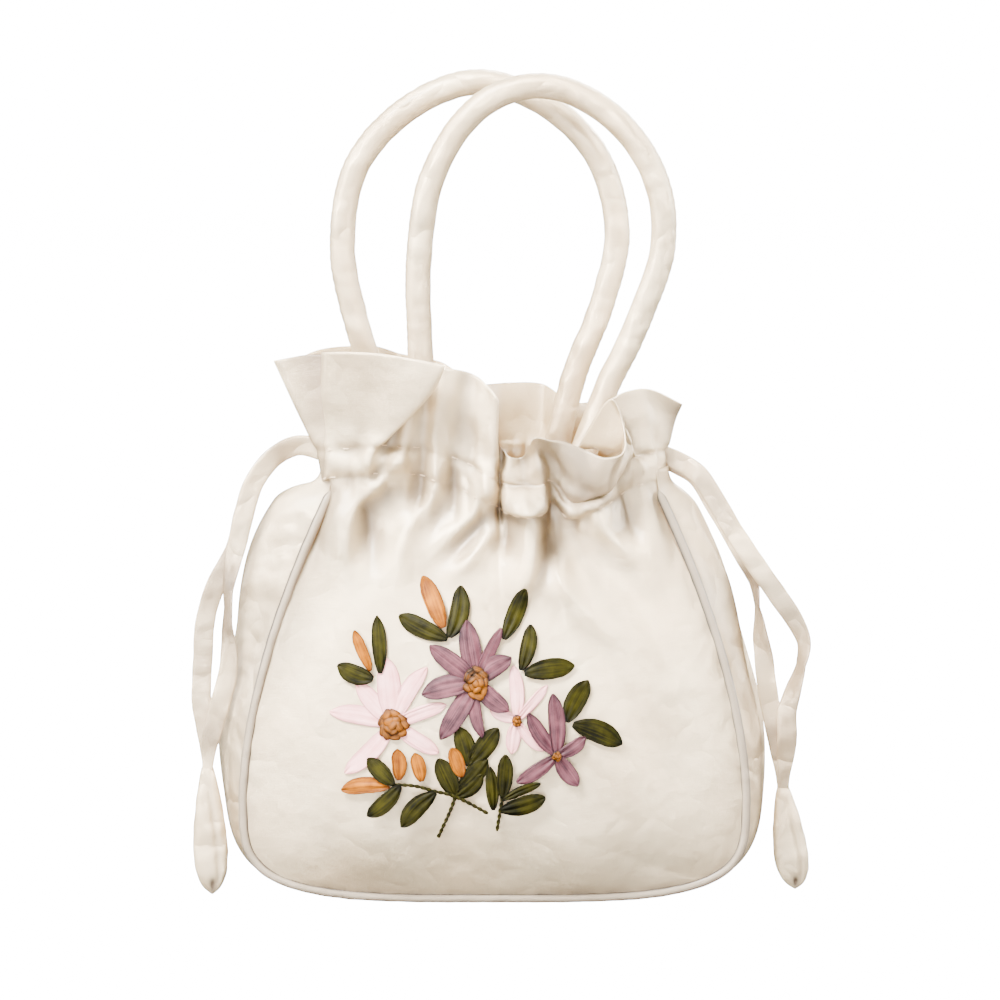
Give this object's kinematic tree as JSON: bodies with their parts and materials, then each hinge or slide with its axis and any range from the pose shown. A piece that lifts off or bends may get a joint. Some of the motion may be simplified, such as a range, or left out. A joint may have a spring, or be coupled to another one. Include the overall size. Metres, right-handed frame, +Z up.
{
  "type": "drawstring handbag",
  "caption": "Soft satin handbag with a gathered drawstring neck, ruffled collar, padded arch handles, piped seams and a ribbon-embroidered flower front.",
  "frame": {"origin": "centre of the flat base that the bag stands on", "axes": "+Z up from the base to the handles, -Y out of the embroidered front, +X to the right seen from the front"},
  "size_m": [0.251, 0.1062, 0.3332],
  "materials": {
    "satin": "satin",
    "piping": "satin",
    "mauve_ribbon": "satin ribbon",
    "pink_ribbon": "satin ribbon",
    "gold_ribbon": "satin ribbon",
    "green_ribbon": "satin ribbon",
    "orange_ribbon": "satin ribbon"
  },
  "bodies": {
    "root": {"front_panel": "satin", "back_panel": "satin", "gusset": "satin", "front_piping": "piping", "back_piping": "piping", "front_collar": "satin", "back_collar": "satin", "front_handle": "satin", "back_handle": "satin", "left_strand_front": "satin", "left_strand_back": "satin", "right_strand_front": "satin", "right_strand_back": "satin", "left_tab": "satin", "right_tab": "satin", "mauve_flower_large": "mauve_ribbon", "mauve_flower_large_knot": "gold_ribbon", "mauve_flower_small": "mauve_ribbon", "mauve_flower_small_knot": "gold_ribbon", "pink_flower_large": "pink_ribbon", "pink_flower_large_knot": "gold_ribbon", "pink_flower_small": "pink_ribbon", "pink_flower_small_knot": "gold_ribbon", "leaf_spray_top": "green_ribbon", "leaf_spray_left": "green_ribbon", "leaf_upper_right": "green_ribbon", "leaf_spray_right_upper": "green_ribbon", "leaf_spray_right": "green_ribbon", "leaf_spray_middle": "green_ribbon", "leaf_spray_low_right": "green_ribbon", "leaf_spray_low_left": "green_ribbon", "bud_top": "orange_ribbon", "bud_left": "orange_ribbon", "bud_middle": "orange_ribbon", "bud_low_left": "orange_ribbon", "bud_low_upright": "orange_ribbon", "bud_low_inner": "orange_ribbon"}
  },
  "joints": []
}
